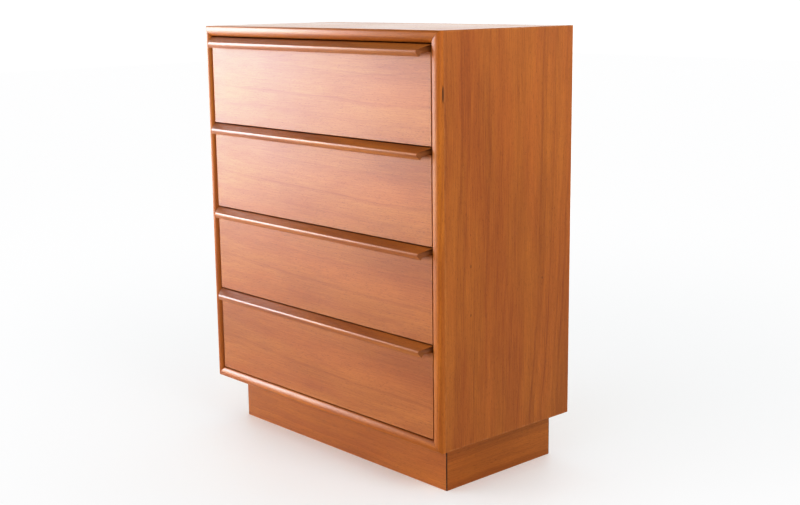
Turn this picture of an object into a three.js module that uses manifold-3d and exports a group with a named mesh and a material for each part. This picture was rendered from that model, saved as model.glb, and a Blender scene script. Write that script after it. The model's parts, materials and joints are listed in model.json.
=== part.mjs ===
// A tall chest of four drawers on a recessed plinth.
// Millimetres, +Z up. The drawers open towards -Y, and the origin is on the floor at the middle.
import * as THREE from "three";
import { mergeVertices } from "three/addons/utils/BufferGeometryUtils.js";
import Module from "manifold-3d";

const wasm = await Module();
wasm.setup();

// ---------------------------------------------------------------- driving sizes

const CASE_WIDTH = 758;
const CASE_DEPTH = 380;
const TOTAL_HEIGHT = 920;
const PANEL = 23;
const GAP = 0.3;
const OVERCUT = 1;

const LIPPING_DEPTH = 14;
const NOSE_DEPTH = 7.5;

const BACK_THICKNESS = 5;
const BACK_RECESS = 7;
const REBATE_WIDTH = 8;

const PLINTH_HEIGHT = 102;
const PLINTH_BOARD = 18;
const PLINTH_FRONT_INSET = 56;
const PLINTH_SIDE_INSET = 40;
const PLINTH_REAR_INSET = 13;
const CORNER_BLOCK = 32;
const CORNER_BLOCK_HEIGHT = 88;
const CROSS_RAIL_HEIGHT = 80;

const DRAWER_COUNT = 4;
const FRONT_THICKNESS = 19;
const FRONT_RECESS = 4;
const REVEAL = 2;
const SIDE_REVEAL = 1;

const PULL_REACH = 18.5;
const PULL_DROP = 10.3;
const PULL_NOSE_HEIGHT = 12.3;
const PULL_NOSE_LEAN = 3.5;
const PULL_ROOT_HEIGHT = 14;
const PULL_MITRE = 17.5;
const PULL_COVE_END = 5;

const BOX_HEIGHT = 150;
const BOX_LIFT = 10;
const BOX_REAR = 350;
const SIDE_THICKNESS = 13;
const REAR_THICKNESS = 12;
const REAR_TOP_DROP = 6;
const FLOOR_THICKNESS = 5;
const FLOOR_LIFT = 5.2;
const FLOOR_GROOVE_DEPTH = 6;

const TAIL_COUNT = 3;
const TAIL_BASE = 26;
const TAIL_TIP = 30;
const TAIL_LENGTH = 12;
const TAIL_FIELD_START = 12;

const RUNNER_HEIGHT = 16;
const RUNNER_THICKNESS = 8;
const RUNNER_CLEARANCE = 0.5;
const RUNNER_START = 30.5;
const RUNNER_END = 366;

// ---------------------------------------------------------------- worked-out sizes

const FRONT_PLANE = -(CASE_DEPTH - PULL_REACH) / 2;
const CASE_HEIGHT = TOTAL_HEIGHT - PLINTH_HEIGHT;
const CASE_MIDDLE = PLINTH_HEIGHT + CASE_HEIGHT / 2;
const OPENING_WIDTH = CASE_WIDTH - 2 * PANEL;
const OPENING_HEIGHT = CASE_HEIGHT - 2 * PANEL;
const PITCH = (OPENING_HEIGHT - REVEAL) / DRAWER_COUNT;
const FRONT_HEIGHT = PITCH - REVEAL;
const FRONT_WIDTH = OPENING_WIDTH - 2 * SIDE_REVEAL;
const FRONT_REAR = FRONT_RECESS + FRONT_THICKNESS;
const BOX_BOTTOM = BOX_LIFT - FRONT_HEIGHT;
const SIDE_OUTER = FRONT_WIDTH / 2;
const SIDE_INNER = SIDE_OUTER - SIDE_THICKNESS;
const REAR_FACE = BOX_REAR - REAR_THICKNESS;
const FLOOR_TOP = FLOOR_LIFT + FLOOR_THICKNESS;
const TAIL_PITCH = (BOX_HEIGHT - TAIL_FIELD_START) / TAIL_COUNT;
const RUNNER_LEVEL = BOX_BOTTOM + TAIL_FIELD_START + TAIL_PITCH * (TAIL_COUNT / 2);
const BACK_FACE = CASE_DEPTH - BACK_RECESS;

// ---------------------------------------------------------------- finishes

const finish = (color, roughness) => new THREE.MeshStandardMaterial({ color, roughness, metalness: 0 });
const teakVeneer = finish(0xb26a3c, 0.42);
const teakSolid = finish(0xbd7a45, 0.38);
const plinthTeak = finish(0xa4592f, 0.48);
const drawerWood = finish(0xd3b184, 0.62);
const plywood = finish(0xc09a6b, 0.7);

// ---------------------------------------------------------------- solids and meshes

// A three.js geometry as a closed solid.
function solid(geometry) {
  const bare = geometry.clone();
  bare.deleteAttribute("normal");
  bare.deleteAttribute("uv");
  const merged = mergeVertices(bare, 1e-4);
  return new wasm.Manifold(new wasm.Mesh({
    numProp: 3,
    vertProperties: new Float32Array(merged.attributes.position.array),
    triVerts: new Uint32Array(merged.index.array),
  }));
}

// A solid as a three.js geometry.
function geometryOf(body) {
  const mesh = body.getMesh();
  const geometry = new THREE.BufferGeometry();
  geometry.setAttribute("position", new THREE.BufferAttribute(mesh.vertProperties, 3));
  geometry.setIndex(new THREE.BufferAttribute(mesh.triVerts, 1));
  geometry.computeVertexNormals();
  return geometry;
}

// A block from its low and high corners.
function block(low, high) {
  const size = high.map((value, axis) => value - low[axis]);
  const middle = high.map((value, axis) => (value + low[axis]) / 2);
  return solid(new THREE.BoxGeometry(...size).translate(...middle));
}

// A shape drawn in (Y, Z), drawn out along X from one place to another.
function alongX(shape, from, to, curveSegments = 8) {
  const options = { depth: to - from, bevelEnabled: false, curveSegments };
  const geometry = new THREE.ExtrudeGeometry(shape, options);
  const turn = new THREE.Matrix4().makeBasis(
    new THREE.Vector3(0, 1, 0),
    new THREE.Vector3(0, 0, 1),
    new THREE.Vector3(1, 0, 0),
  );
  return solid(geometry.applyMatrix4(turn).translate(from, 0, 0));
}

function outline(points) {
  return new THREE.Shape(points.map(([x, y]) => new THREE.Vector2(x, y)));
}

function piece(name, geometry, material, position = [0, 0, 0], rotation = [0, 0, 0]) {
  const mesh = new THREE.Mesh(geometry, material);
  mesh.name = name;
  mesh.position.set(...position);
  mesh.rotation.set(...rotation);
  return mesh;
}

// A board along X with its inner face at Z = 0 and both ends mitred at 45 degrees, longest outside.
function mitredBoard(section, length, thickness) {
  const setBack = GAP * Math.SQRT1_2;
  const reach = (length / 2 - thickness - setBack) * Math.SQRT1_2;
  return alongX(section, -length / 2, length / 2)
    .trimByPlane([-Math.SQRT1_2, 0, Math.SQRT1_2], -reach)
    .trimByPlane([Math.SQRT1_2, 0, Math.SQRT1_2], -reach);
}

// ---------------------------------------------------------------- case

// Panel section: a rebate along the rear inner edge holds the back.
function panelSection() {
  const front = LIPPING_DEPTH + GAP;
  const rebateStart = BACK_FACE - BACK_THICKNESS - GAP;
  return outline([
    [front, 0],
    [rebateStart, 0],
    [rebateStart, REBATE_WIDTH],
    [CASE_DEPTH, REBATE_WIDTH],
    [CASE_DEPTH, PANEL],
    [front, PANEL],
  ]);
}

// Solid edge on the front of a panel, with a rounded nose.
function lippingSection() {
  const shape = new THREE.Shape();
  shape.moveTo(NOSE_DEPTH, 0);
  shape.lineTo(LIPPING_DEPTH, 0);
  shape.lineTo(LIPPING_DEPTH, PANEL);
  shape.lineTo(NOSE_DEPTH, PANEL);
  shape.absellipse(NOSE_DEPTH, PANEL / 2, NOSE_DEPTH, PANEL / 2, Math.PI / 2, (3 * Math.PI) / 2, false);
  return shape;
}

// The four sides of the case: name, outer length, where the inner face lies, and its turn about Y.
const CASE_SIDES = [
  ["top", CASE_WIDTH, [0, 0, TOTAL_HEIGHT - PANEL], 0],
  ["bottom", CASE_WIDTH, [0, 0, PLINTH_HEIGHT + PANEL], Math.PI],
  ["right", CASE_HEIGHT, [OPENING_WIDTH / 2, 0, CASE_MIDDLE], Math.PI / 2],
  ["left", CASE_HEIGHT, [-OPENING_WIDTH / 2, 0, CASE_MIDDLE], -Math.PI / 2],
];

function makeCase() {
  const group = new THREE.Group();
  for (const [side, length, place, turn] of CASE_SIDES) {
    const panel = geometryOf(mitredBoard(panelSection(), length, PANEL));
    const lipping = geometryOf(mitredBoard(lippingSection(), length, PANEL));
    group.add(piece(`${side}_panel`, panel, teakVeneer, place, [0, turn, 0]));
    group.add(piece(`${side}_lipping`, lipping, teakSolid, place, [0, turn, 0]));
  }
  group.add(makeBack());
  return group;
}

function makeBack() {
  const width = OPENING_WIDTH + 2 * (REBATE_WIDTH - GAP);
  const height = OPENING_HEIGHT + 2 * (REBATE_WIDTH - GAP);
  const middle = BACK_FACE - BACK_THICKNESS / 2;
  return piece(
    "back_panel",
    new THREE.BoxGeometry(width, BACK_THICKNESS, height),
    plywood,
    [0, middle, CASE_MIDDLE],
  );
}

// ---------------------------------------------------------------- plinth

function makePlinth() {
  const group = new THREE.Group();
  const top = PLINTH_HEIGHT - GAP;
  const section = outline([[0, 0], [top, 0], [top, PLINTH_BOARD], [0, PLINTH_BOARD]]);
  const width = CASE_WIDTH - 2 * PLINTH_SIDE_INSET;
  const depth = CASE_DEPTH - PLINTH_FRONT_INSET - PLINTH_REAR_INSET;
  const innerWidth = width / 2 - PLINTH_BOARD;
  const innerFront = PLINTH_FRONT_INSET + PLINTH_BOARD;
  const innerRear = CASE_DEPTH - PLINTH_REAR_INSET - PLINTH_BOARD;
  const middle = (innerFront + innerRear) / 2;
  const upright = Math.PI / 2;
  const boards = [
    ["front", width, [0, innerFront, 0], 0],
    ["right", depth, [innerWidth, middle, 0], upright],
    ["rear", width, [0, innerRear, 0], Math.PI],
    ["left", depth, [-innerWidth, middle, 0], -upright],
  ];
  for (const [side, length, place, turn] of boards) {
    const board = piece(
      `plinth_${side}`,
      geometryOf(mitredBoard(section, length, PLINTH_BOARD)),
      plinthTeak,
      [0, 0, 0],
      [upright, 0, 0],
    );
    const holder = new THREE.Group();
    holder.position.set(...place);
    holder.rotation.z = turn;
    holder.add(board);
    group.add(holder);
  }
  const toBlock = GAP + CORNER_BLOCK / 2;
  const corners = [["front", innerFront + toBlock], ["rear", innerRear - toBlock]];
  const blockShape = new THREE.BoxGeometry(CORNER_BLOCK, CORNER_BLOCK, CORNER_BLOCK_HEIGHT);
  const x = innerWidth - toBlock;
  const z = top - CORNER_BLOCK_HEIGHT / 2;
  for (const [end, y] of corners) {
    for (const [side, sign] of [["left", -1], ["right", 1]]) {
      group.add(piece(`plinth_block_${end}_${side}`, blockShape, drawerWood, [sign * x, y, z]));
    }
  }
  const railLength = innerRear - innerFront - 2 * GAP;
  const rail = new THREE.BoxGeometry(PLINTH_BOARD, railLength, CROSS_RAIL_HEIGHT);
  group.add(piece("plinth_cross_rail", rail, drawerWood, [0, middle, top - CROSS_RAIL_HEIGHT / 2]));
  return group;
}

// ---------------------------------------------------------------- drawers

// Middle height of each dovetail tail on a drawer side.
function tailLevels() {
  const first = BOX_BOTTOM + TAIL_FIELD_START + TAIL_PITCH / 2;
  return Array.from({ length: TAIL_COUNT }, (_, tail) => first + TAIL_PITCH * tail);
}

// Half the height of a socket at a distance from the root of its tail.
function socketHalf(distance) {
  return (TAIL_BASE + (distance * (TAIL_TIP - TAIL_BASE)) / TAIL_LENGTH) / 2 + GAP;
}

// The sockets that take a side's tails, cut into a board at both of its ends. They run along Y, in the
// given direction from the tails' root, between two distances from it.
function cutSockets(board, root, direction, from, to) {
  const start = root + direction * from;
  const end = root + direction * to;
  const inner = SIDE_INNER - GAP;
  const outer = SIDE_OUTER + OVERCUT;
  let cut = board;
  for (const level of tailLevels()) {
    const shape = outline([
      [start, level - socketHalf(from)],
      [start, level + socketHalf(from)],
      [end, level + socketHalf(to)],
      [end, level - socketHalf(to)],
    ]);
    cut = cut.subtract(alongX(shape, inner, outer)).subtract(alongX(shape, -outer, -inner));
  }
  return cut;
}

function floorGroove(halfWidth, from, to) {
  const low = BOX_BOTTOM + FLOOR_LIFT - GAP;
  const high = BOX_BOTTOM + FLOOR_TOP + GAP;
  return block([-halfWidth, from, low], [halfWidth, to, high]);
}

// The drawer front below its pull.
function frontBoard() {
  const board = block(
    [-FRONT_WIDTH / 2, FRONT_RECESS, -FRONT_HEIGHT],
    [FRONT_WIDTH / 2, FRONT_REAR, -PULL_ROOT_HEIGHT - GAP],
  );
  const grooveStart = FRONT_REAR - FLOOR_GROOVE_DEPTH;
  const groove = floorGroove(SIDE_INNER + FLOOR_GROOVE_DEPTH, grooveStart, FRONT_REAR + OVERCUT);
  return cutSockets(board, FRONT_REAR + GAP, -1, -OVERCUT, TAIL_LENGTH + GAP).subtract(groove);
}

// Section of the pull: a sloping top, a nose that leans back below, and a cove underneath for the fingers.
function pullSection() {
  const nose = -PULL_REACH;
  const noseTop = -PULL_DROP;
  const noseBottom = -PULL_DROP - PULL_NOSE_HEIGHT;
  const slope = PULL_DROP / (PULL_REACH + FRONT_RECESS);
  const easing = 3;
  const foot = nose + PULL_NOSE_LEAN;
  const heel = foot + 2;
  const shape = new THREE.Shape();
  shape.moveTo(FRONT_REAR, -PULL_ROOT_HEIGHT);
  shape.lineTo(FRONT_REAR, 0);
  shape.lineTo(FRONT_RECESS, 0);
  shape.lineTo(nose + easing, noseTop + easing * slope);
  shape.quadraticCurveTo(nose, noseTop, nose, noseTop - easing);
  shape.quadraticCurveTo(nose, noseTop - 2 * easing, foot, noseBottom + easing / 2);
  shape.quadraticCurveTo(foot + easing / 6, noseBottom, foot + easing / 2, noseBottom);
  shape.lineTo(heel, noseBottom);
  shape.quadraticCurveTo(heel + 1.5, -PULL_ROOT_HEIGHT - 0.6, -PULL_COVE_END, -PULL_ROOT_HEIGHT);
  return shape;
}

// The pull, with the ends of its lip mitred back so that they clear the case.
function pull() {
  const corner = FRONT_WIDTH / 2;
  const beyond = 10;
  const reach = PULL_REACH + beyond;
  const inward = (PULL_MITRE * reach) / PULL_REACH;
  const wedge = outline([[corner, 0], [corner - inward, -reach], [corner + beyond, -reach]]);
  const tall = PULL_DROP + PULL_NOSE_HEIGHT + 2 * beyond;
  const upright = new THREE.ExtrudeGeometry(wedge, { depth: tall, bevelEnabled: false });
  const cutter = solid(upright.translate(0, 0, beyond - tall));
  return alongX(pullSection(), -corner, corner, 5).subtract(cutter).subtract(cutter.mirror([1, 0, 0]));
}

// Outline of a drawer side in (Y, Z), with its tails at both ends.
function sideOutline() {
  const top = BOX_BOTTOM + BOX_HEIGHT;
  const frontShoulder = FRONT_REAR + GAP;
  const frontTip = FRONT_REAR - TAIL_LENGTH + GAP;
  const rearShoulder = REAR_FACE - GAP;
  const notch = BOX_BOTTOM + FLOOR_TOP;
  const points = [[frontShoulder, BOX_BOTTOM], [BOX_REAR, BOX_BOTTOM]];
  points.push([BOX_REAR, notch], [rearShoulder, notch]);
  for (const level of tailLevels()) {
    points.push([rearShoulder, level - TAIL_BASE / 2], [BOX_REAR, level - TAIL_TIP / 2]);
    points.push([BOX_REAR, level + TAIL_TIP / 2], [rearShoulder, level + TAIL_BASE / 2]);
  }
  const lip = top - REAR_TOP_DROP + GAP;
  points.push([rearShoulder, lip], [BOX_REAR, lip], [BOX_REAR, top], [frontShoulder, top]);
  for (const level of tailLevels().reverse()) {
    points.push([frontShoulder, level + TAIL_BASE / 2], [frontTip, level + TAIL_TIP / 2]);
    points.push([frontTip, level - TAIL_TIP / 2], [frontShoulder, level - TAIL_BASE / 2]);
  }
  return outline(points);
}

// The right-hand drawer side, grooved outside for its runner and inside for the floor.
function rightSide() {
  const half = RUNNER_HEIGHT / 2 + RUNNER_CLEARANCE;
  const runnerFace = OPENING_WIDTH / 2 - RUNNER_THICKNESS - RUNNER_CLEARANCE;
  const runnerGroove = block(
    [runnerFace, RUNNER_START - RUNNER_CLEARANCE, RUNNER_LEVEL - half],
    [SIDE_OUTER + OVERCUT, BOX_REAR + OVERCUT, RUNNER_LEVEL + half],
  );
  const groove = floorGroove(SIDE_INNER + FLOOR_GROOVE_DEPTH, 0, BOX_REAR + OVERCUT);
  return alongX(sideOutline(), SIDE_INNER, SIDE_OUTER).subtract(runnerGroove).subtract(groove);
}

// The board across the back of the drawer, which stands on the floor.
function rearBoard() {
  const board = block(
    [-SIDE_OUTER, REAR_FACE, BOX_BOTTOM + FLOOR_TOP + GAP],
    [SIDE_OUTER, BOX_REAR, BOX_BOTTOM + BOX_HEIGHT - REAR_TOP_DROP],
  );
  return cutSockets(board, REAR_FACE - GAP, 1, -OVERCUT, TAIL_LENGTH + GAP + OVERCUT);
}

function drawerFloor() {
  const halfWidth = SIDE_INNER + FLOOR_GROOVE_DEPTH - GAP;
  return block(
    [-halfWidth, FRONT_REAR - FLOOR_GROOVE_DEPTH + GAP, BOX_BOTTOM + FLOOR_LIFT],
    [halfWidth, BOX_REAR, BOX_BOTTOM + FLOOR_TOP],
  );
}

// Height of the top edge of a drawer's front. Drawers are numbered from the top.
function drawerTop(number) {
  return TOTAL_HEIGHT - PANEL - REVEAL - PITCH * (number - 1);
}

const drawerShapes = {
  front: [frontBoard(), teakVeneer],
  pull: [pull(), teakSolid],
  side_right: [rightSide(), drawerWood],
  side_left: [rightSide().mirror([1, 0, 0]), drawerWood],
  rear: [rearBoard(), drawerWood],
  floor: [drawerFloor(), plywood],
};

// A drawer whose own origin is at the top edge of its front.
function makeDrawer(number) {
  const group = new THREE.Group();
  group.position.z = drawerTop(number);
  for (const [name, [shape, material]] of Object.entries(drawerShapes)) {
    group.add(piece(`drawer_${number}_${name}`, geometryOf(shape), material));
  }
  return group;
}

function makeRunners(number) {
  const group = new THREE.Group();
  group.position.z = drawerTop(number) + RUNNER_LEVEL;
  const length = RUNNER_END - RUNNER_START;
  const shape = new THREE.BoxGeometry(RUNNER_THICKNESS - GAP, length, RUNNER_HEIGHT);
  const x = (OPENING_WIDTH - RUNNER_THICKNESS - GAP) / 2;
  const y = (RUNNER_START + RUNNER_END) / 2;
  group.add(piece(`runner_${number}_right`, shape, drawerWood, [x, y, 0]));
  group.add(piece(`runner_${number}_left`, shape, drawerWood, [-x, y, 0]));
  return group;
}

// ---------------------------------------------------------------- the chest

const chest = new THREE.Group();
chest.position.y = FRONT_PLANE;
chest.add(makeCase(), makePlinth());
for (let number = 1; number <= DRAWER_COUNT; number += 1) {
  chest.add(makeDrawer(number), makeRunners(number));
}

export default chest;
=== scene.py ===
"""A tall chest of four drawers in teak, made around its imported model.

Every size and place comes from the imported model. Each operator makes one kind of piece, and the panel in the
sidebar lists them in the order in which a maker would use them.
"""

import json
from math import cos, pi, radians, sin

import bmesh
import bpy
from mathutils import Matrix, Vector


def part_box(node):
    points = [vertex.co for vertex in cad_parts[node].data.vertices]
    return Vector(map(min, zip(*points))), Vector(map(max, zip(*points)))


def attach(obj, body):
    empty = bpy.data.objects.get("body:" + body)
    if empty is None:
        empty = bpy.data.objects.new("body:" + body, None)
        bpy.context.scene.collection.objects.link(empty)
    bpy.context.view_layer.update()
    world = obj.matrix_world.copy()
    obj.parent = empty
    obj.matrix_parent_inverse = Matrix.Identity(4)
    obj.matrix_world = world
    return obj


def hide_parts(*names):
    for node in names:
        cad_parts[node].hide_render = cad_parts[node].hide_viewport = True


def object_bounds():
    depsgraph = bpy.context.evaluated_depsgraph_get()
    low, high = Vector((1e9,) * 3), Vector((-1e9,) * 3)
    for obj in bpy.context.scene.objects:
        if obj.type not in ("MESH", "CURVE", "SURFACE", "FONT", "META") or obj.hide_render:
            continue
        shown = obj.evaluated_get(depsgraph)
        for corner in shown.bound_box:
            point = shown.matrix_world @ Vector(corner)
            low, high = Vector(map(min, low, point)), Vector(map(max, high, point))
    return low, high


bl_info = {
    "name": "Teak chest of drawers",
    "version": (1, 0, 0),
    "blender": (4, 5, 0),
    "location": "3D View > Sidebar > Chest",
    "description": "Makes a chest of four drawers on a plinth, with its finishes, floor and lights",
    "category": "Object",
}

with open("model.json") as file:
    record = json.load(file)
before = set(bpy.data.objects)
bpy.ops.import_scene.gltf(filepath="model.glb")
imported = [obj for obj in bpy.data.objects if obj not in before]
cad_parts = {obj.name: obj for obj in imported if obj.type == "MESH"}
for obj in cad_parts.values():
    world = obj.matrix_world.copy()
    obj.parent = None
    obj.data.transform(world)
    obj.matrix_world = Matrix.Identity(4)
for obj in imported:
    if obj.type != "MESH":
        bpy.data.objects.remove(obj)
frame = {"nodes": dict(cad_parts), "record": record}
cad_low, cad_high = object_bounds()

MM = 0.001
X_AXIS = Vector((1, 0, 0))
Y_AXIS = Vector((0, 1, 0))
Z_AXIS = Vector((0, 0, 1))

JOINT_GAP = 0.3 * MM
HEAD_HEIGHT = 2.4 * MM
SCREW_INSET = 11 * MM
RUNNER_SCREWS = (0.08, 0.5, 0.92)

DRAWERS = [body for body in frame["record"]["behaviour"]["bodies"] if body != "case"]
CASE_SIDES = {"top": Z_AXIS, "bottom": -Z_AXIS, "right": X_AXIS, "left": -X_AXIS}
PLINTH_SIDES = {"front": -Y_AXIS, "right": X_AXIS, "rear": Y_AXIS, "left": -X_AXIS}


# ---------------------------------------------------------------- settings


def colour_setting(name, description, default):
    return bpy.props.FloatVectorProperty(
        name=name, description=description, default=default, subtype="COLOR", size=3, min=0, max=1)


def length_setting(name, description, default, least, most):
    return bpy.props.FloatProperty(
        name=name, description=description, default=default, unit="LENGTH", min=least, max=most)


def power_setting(name, description, default):
    return bpy.props.FloatProperty(
        name=name, description=description, default=default, subtype="POWER", min=0)


class ChestCaseSettings(bpy.types.PropertyGroup):
    """Sizes of the case's edges and joints."""

    edge_ease: length_setting(
        "Edge ease", "Width of the softened edges of the panels", 0.35 * MM, 0.05 * MM, 2 * MM)
    joint_ease: length_setting(
        "Lipping ease", "Width of the softened edges where the lippings meet the panels",
        0.2 * MM, 0.05 * MM, 1 * MM)
    nose_depth: length_setting(
        "Nose depth", "How far back the rounded nose of a lipping reaches", 7.5 * MM, 2 * MM, 13 * MM)
    nose_steps: bpy.props.IntProperty(
        name="Nose steps", description="Number of facets around the rounded nose of a lipping",
        default=28, min=8, max=64)
    plinth_ease: length_setting(
        "Plinth ease", "Width of the worn edges of the plinth boards", 0.9 * MM, 0.05 * MM, 3 * MM)


class ChestDrawerSettings(bpy.types.PropertyGroup):
    """Sizes of the drawers' edges and of the pulls' section."""

    front_ease: length_setting(
        "Front ease", "Width of the softened edges of a drawer front", 0.5 * MM, 0.05 * MM, 3 * MM)
    box_ease: length_setting(
        "Box ease", "Width of the softened edges of a drawer's sides and rear", 0.6 * MM, 0.05 * MM, 3 * MM)
    pull_ease: length_setting(
        "Pull end ease", "Width of the softened edges at the ends of a pull", 0.5 * MM, 0.05 * MM, 3 * MM)
    nose_height: length_setting(
        "Nose height", "Height of the front face of a pull", 12.3 * MM, 6 * MM, 20 * MM)
    nose_lean: length_setting(
        "Nose lean", "How far the foot of a pull's nose lies behind its top", 3.5 * MM, 0, 8 * MM)
    nose_round: length_setting(
        "Nose round", "Radius of the rounding at the top of a pull's nose", 3 * MM, 0.5 * MM, 5 * MM)
    mitre_run: length_setting(
        "Mitre run", "How far a pull's end is cut back at its nose", 17.5 * MM, 0, 30 * MM)


class ChestScrewSettings(bpy.types.PropertyGroup):
    """Sizes of the screws in the back, the runners and the plinth."""

    head_width: length_setting(
        "Head width", "Width of a screw head across the back and the plinth blocks", 7 * MM, 2 * MM, 12 * MM)
    small_head_width: length_setting(
        "Small head width", "Width of a screw head in a drawer runner", 6 * MM, 2 * MM, 12 * MM)
    spacing: length_setting(
        "Spacing", "Greatest distance between two screws along the back's edges", 150 * MM, 40 * MM, 400 * MM)
    seed: bpy.props.IntProperty(
        name="Seed", description="Seed of the turn of the slots", default=4, min=0)


class ChestFinishSettings(bpy.types.PropertyGroup):
    """Colours and gloss of the timber finishes."""

    veneer_light: colour_setting(
        "Veneer light", "Colour of the light wood between the streaks of the veneer", (0.42, 0.14, 0.022))
    veneer_dark: colour_setting(
        "Veneer dark", "Colour of the dark streaks of the veneer", (0.27, 0.075, 0.012))
    front_light: colour_setting(
        "Front light", "Colour of the light wood of the drawer fronts", (0.44, 0.157, 0.038))
    front_dark: colour_setting(
        "Front dark", "Colour of the dark streaks of the drawer fronts", (0.305, 0.094, 0.023))
    solid_light: colour_setting(
        "Solid light", "Colour of the light wood of the lippings", (0.46, 0.155, 0.018))
    solid_dark: colour_setting(
        "Solid dark", "Colour of the dark wood of the lippings", (0.29, 0.08, 0.01))
    pull_light: colour_setting(
        "Pull light", "Colour of the light wood of the pulls", (0.41, 0.138, 0.018))
    pull_dark: colour_setting(
        "Pull dark", "Colour of the dark wood of the pulls", (0.26, 0.072, 0.01))
    plinth_light: colour_setting(
        "Plinth light", "Colour of the light wood of the plinth", (0.45, 0.147, 0.022))
    plinth_dark: colour_setting(
        "Plinth dark", "Colour of the dark wood of the plinth", (0.285, 0.08, 0.012))
    box_light: colour_setting(
        "Drawer box light", "Colour of the light wood inside the chest", (0.62, 0.43, 0.24))
    box_dark: colour_setting(
        "Drawer box dark", "Colour of the dark wood inside the chest", (0.45, 0.27, 0.13))
    plywood_light: colour_setting(
        "Plywood light", "Colour of the light wood of the plywood", (0.5, 0.3, 0.14))
    plywood_dark: colour_setting(
        "Plywood dark", "Colour of the dark wood of the plywood", (0.33, 0.17, 0.07))
    show_roughness: bpy.props.FloatProperty(
        name="Show roughness", description="Roughness of the oiled teak that shows",
        subtype="FACTOR", default=0.36, min=0.05, max=1)
    inside_roughness: bpy.props.FloatProperty(
        name="Inside roughness", description="Roughness of the bare wood inside",
        subtype="FACTOR", default=0.62, min=0.05, max=1)


class ChestStageSettings(bpy.types.PropertyGroup):
    """Floor, lights and camera."""

    floor_colour: colour_setting(
        "Floor colour", "Colour of the plain floor", (0.775, 0.797, 0.808))
    # Painted light: strength of the floor's own glow near the chest, doubled far from it.
    floor_painted_glow: bpy.props.FloatProperty(
        name="Floor glow", description="Brightness that the floor has of its own",
        default=0.17, min=0, soft_max=1)
    room_light: bpy.props.FloatProperty(
        name="Room light", description="Brightness of the white walls all round",
        default=0.95, min=0, soft_max=3)
    room_ceiling: bpy.props.FloatProperty(
        name="Ceiling light", description="Brightness of the ceiling",
        default=0.72, min=0, soft_max=3)
    right_share: bpy.props.FloatProperty(
        name="Right share", description="Brightness of the room's right side as a share of the rest",
        default=0.5, min=0, max=1)
    daylight: colour_setting(
        "Daylight", "Colour of the light from the windows", (0.78, 0.87, 1.0))
    wall_light: bpy.props.FloatProperty(
        name="Wall reflection", description="Brightness of the walls where they are mirrored in the finish",
        default=2.2, min=0, soft_max=3)
    ceiling_light: bpy.props.FloatProperty(
        name="Ceiling reflection", description="Brightness of the ceiling where it is mirrored in the finish",
        default=0.12, min=0, soft_max=3)
    soft_light: power_setting(
        "Soft light", "Power of the soft light on the front", 53)
    window_light: power_setting(
        "Window light", "Power of the bright panel that the upper drawers mirror", 208)
    low_light: power_setting(
        "Low light", "Power of the dimmer panel that the lower drawers mirror", 56)
    sheer_light: power_setting(
        "Sheer light", "Power of the dim panel beside the window", 4)
    side_light: power_setting(
        "Side light", "Power of the soft light on the right", 15)
    lens: bpy.props.FloatProperty(
        name="Lens", description="Focal length of the camera",
        default=58.09, min=10, max=300, subtype="DISTANCE_CAMERA")


# ---------------------------------------------------------------- nodes


def connect(tree, source, target):
    """Link a socket, or set a plain value."""
    if isinstance(source, bpy.types.NodeSocket):
        tree.links.new(source, target)
    elif source is not None:
        target.default_value = source


def maths(tree, operation, *values, clamp=False):
    node = tree.nodes.new("ShaderNodeMath")
    node.operation = operation
    node.use_clamp = clamp
    for socket, value in zip(node.inputs, values):
        connect(tree, value, socket)
    return node.outputs[0]


def split(tree, vector):
    """The X, Y and Z of a vector."""
    node = tree.nodes.new("ShaderNodeSeparateXYZ")
    connect(tree, vector, node.inputs[0])
    return node.outputs


def vector_maths(tree, operation, *values):
    node = tree.nodes.new("ShaderNodeVectorMath")
    node.operation = operation
    for socket, value in zip(node.inputs, values):
        connect(tree, value, socket)
    return node.outputs["Value" if operation in ("DOT_PRODUCT", "LENGTH") else "Vector"]


def stretched(tree, place, scale):
    return vector_maths(tree, "MULTIPLY", place, scale)


def noise(tree, place, seed, detail=2.0, roughness=0.5):
    """Noise in place, at one cell for each unit, with another pattern for each seed."""
    node = tree.nodes.new("ShaderNodeTexNoise")
    node.noise_dimensions = "4D"
    connect(tree, place, node.inputs["Vector"])
    connect(tree, seed, node.inputs["W"])
    node.inputs["Scale"].default_value = 1.0
    node.inputs["Detail"].default_value = detail
    node.inputs["Roughness"].default_value = roughness
    return node.outputs[0]


def line_noise(tree, distance, detail, roughness):
    """Noise along one distance, for bands of uneven width."""
    node = tree.nodes.new("ShaderNodeTexNoise")
    node.noise_dimensions = "1D"
    connect(tree, distance, node.inputs["W"])
    node.inputs["Scale"].default_value = 1.0
    node.inputs["Detail"].default_value = detail
    node.inputs["Roughness"].default_value = roughness
    return node.outputs[0]


def spread(tree, value, low, high, to_low=0.0, to_high=1.0):
    """The part of value between low and high, smoothly taken to another range."""
    node = tree.nodes.new("ShaderNodeMapRange")
    node.interpolation_type = "SMOOTHSTEP"
    for socket, part in zip(node.inputs, (value, low, high, to_low, to_high)):
        connect(tree, part, socket)
    return node.outputs[0]


def blended(tree, factor, first, second, kind="MIX"):
    node = tree.nodes.new("ShaderNodeMix")
    node.data_type = "RGBA"
    node.blend_type = kind
    connect(tree, factor, node.inputs[0])
    for socket, colour in ((node.inputs[6], first), (node.inputs[7], second)):
        connect(tree, colour, socket)
    return node.outputs[2]


def attribute(tree, name, output="Vector"):
    node = tree.nodes.new("ShaderNodeAttribute")
    node.attribute_type = "GEOMETRY"
    node.attribute_name = name
    return node.outputs[output]


def opaque(colour):
    return (*colour, 1.0)


# ---------------------------------------------------------------- timber


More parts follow.
